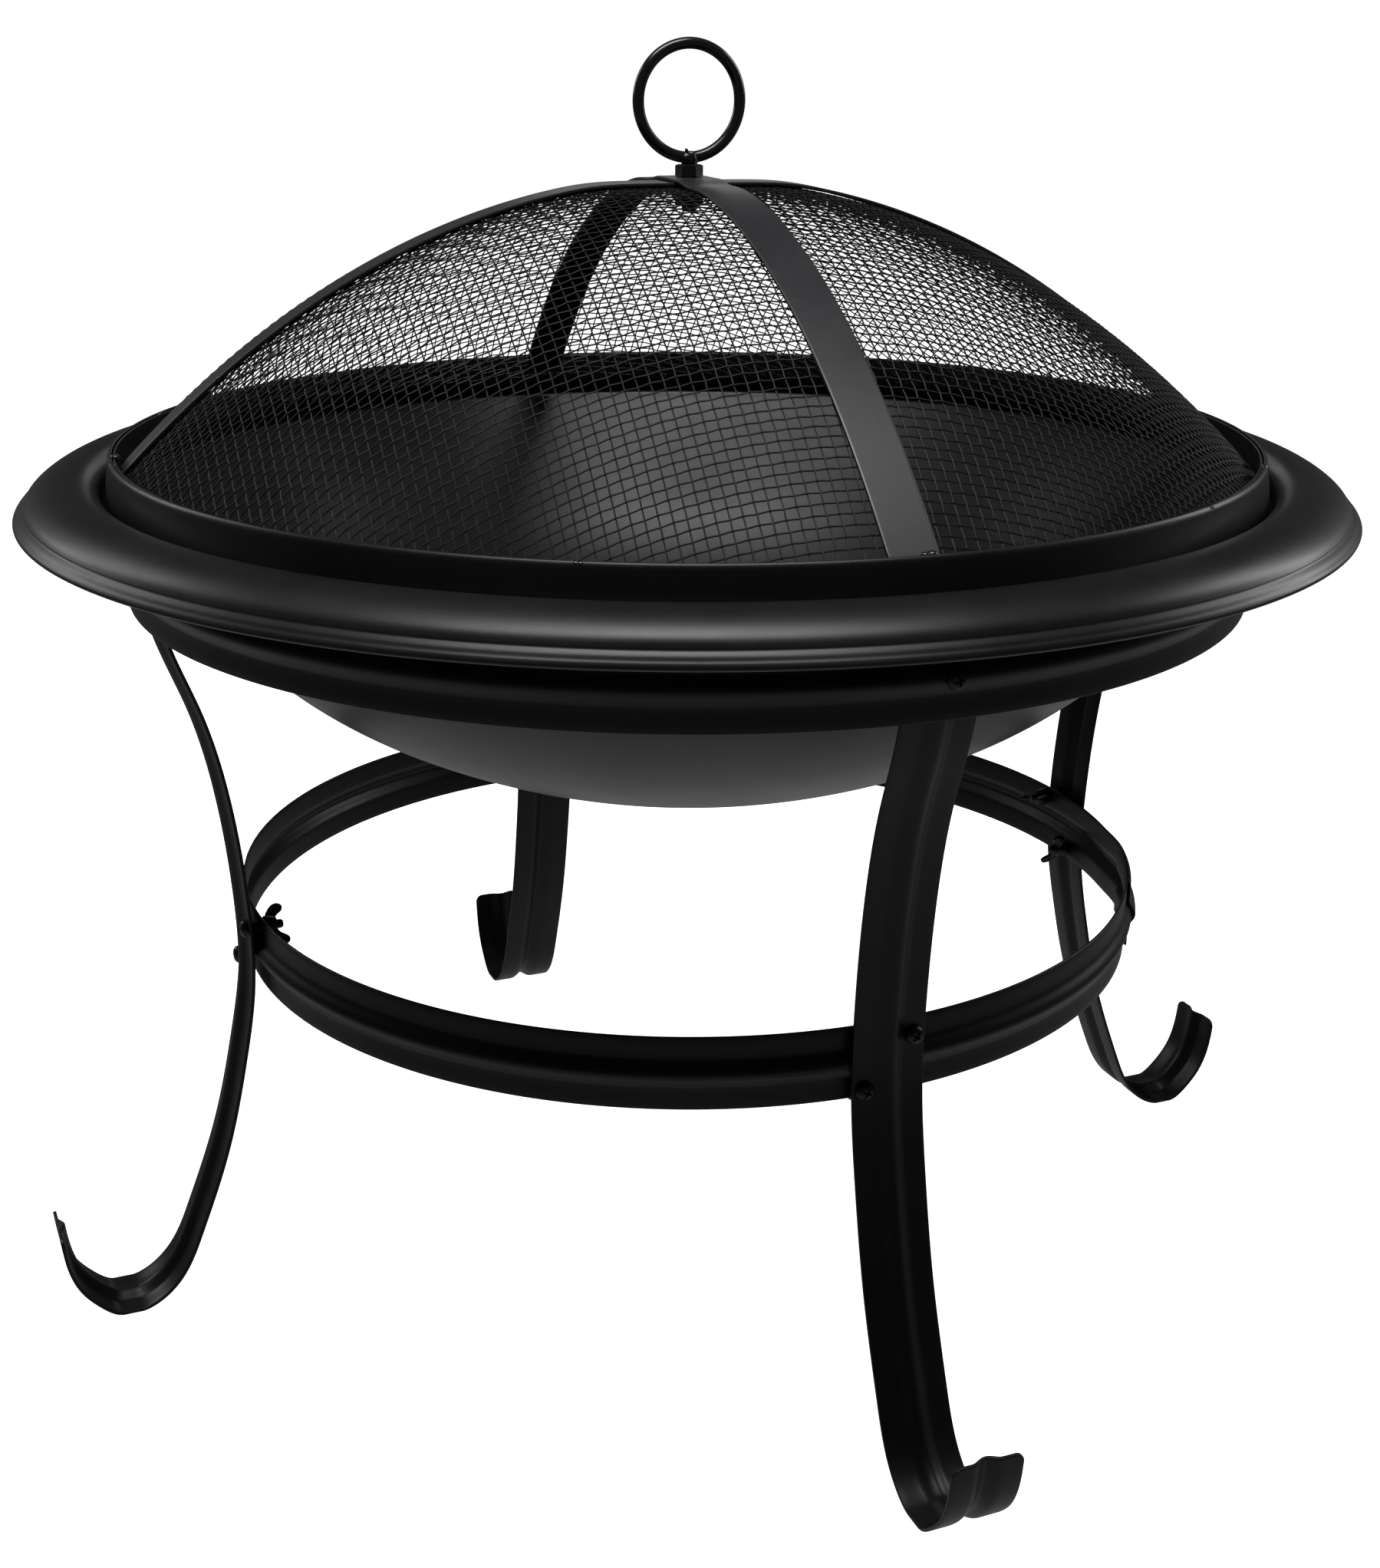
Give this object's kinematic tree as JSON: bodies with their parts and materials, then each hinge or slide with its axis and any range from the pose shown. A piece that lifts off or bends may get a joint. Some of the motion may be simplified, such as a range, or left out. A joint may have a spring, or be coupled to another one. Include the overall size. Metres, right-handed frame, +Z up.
{
  "type": "fire pit",
  "caption": "Round steel fire bowl with a wide rolled rim on a four-legged strip stand, under a domed wire-mesh spark screen with a lifting ring.",
  "frame": {"origin": "centre of the footprint on the floor, under the bowl's axis", "axes": "+Z up along the bowl's axis; -Y is the front, and the front leg stands 22.3 degrees from it towards +X"},
  "size_m": [0.5598, 0.5598, 0.525],
  "materials": {
    "frame_paint": "satin black heat-resistant paint on rolled and beaded steel strip rings",
    "leg_paint": "satin black paint on bent and beaded steel strip",
    "fastener_finish": "blackened screws, hexagon nuts and wing nuts with a slight metallic sheen",
    "bowl_enamel": "satin to semi-gloss black high-temperature coating on pressed steel sheet",
    "screen_paint": "satin black paint on rolled flat bar",
    "ring_paint": "semi-gloss black paint on a round wire ring",
    "wire_mesh_paint": "thin black paint on woven square steel wire mesh",
    "strap_paint": "satin black paint on flat bar",
    "hub_hardware": "blackened hexagon nuts and washer at the hub"
  },
  "bodies": {
    "stand": {"leg_back": "leg_paint", "leg_front": "leg_paint", "leg_left": "leg_paint", "leg_right": "leg_paint", "lower_bolt_back_high": "fastener_finish", "lower_bolt_back_low": "fastener_finish", "lower_bolt_front_high": "fastener_finish", "lower_bolt_front_low": "fastener_finish", "lower_bolt_left_high": "fastener_finish", "lower_bolt_left_low": "fastener_finish", "lower_bolt_right_high": "fastener_finish", "lower_bolt_right_low": "fastener_finish", "lower_ring": "frame_paint", "upper_bolt_back": "fastener_finish", "upper_bolt_front": "fastener_finish", "upper_bolt_left": "fastener_finish", "upper_bolt_right": "fastener_finish", "upper_nut_back": "fastener_finish", "upper_nut_front": "fastener_finish", "upper_nut_left": "fastener_finish", "upper_nut_right": "fastener_finish", "upper_ring": "frame_paint", "wing_nut_back_high": "fastener_finish", "wing_nut_back_low": "fastener_finish", "wing_nut_front_high": "fastener_finish", "wing_nut_front_low": "fastener_finish", "wing_nut_left_high": "fastener_finish", "wing_nut_left_low": "fastener_finish", "wing_nut_right_high": "fastener_finish", "wing_nut_right_low": "fastener_finish"},
    "bowl": {"bowl": "bowl_enamel"},
    "screen": {"hub_nut_bottom": "hub_hardware", "hub_nut_top": "hub_hardware", "hub_washer": "hub_hardware", "lift_ring": "ring_paint", "screen_hoop": "screen_paint", "screen_inner_hoop": "screen_paint", "screen_mesh": "wire_mesh_paint", "strap_over": "strap_paint", "strap_under": "strap_paint"}
  },
  "joints": [
    {"name": "bowl_lift", "type": "slide", "parent": "stand", "child": "bowl", "axis": [0, 0, 1], "range_m": [0, 0.15]},
    {"name": "screen_lift", "type": "slide", "parent": "bowl", "child": "screen", "axis": [0, 0, 1], "range_m": [0, 0.12]}
  ]
}
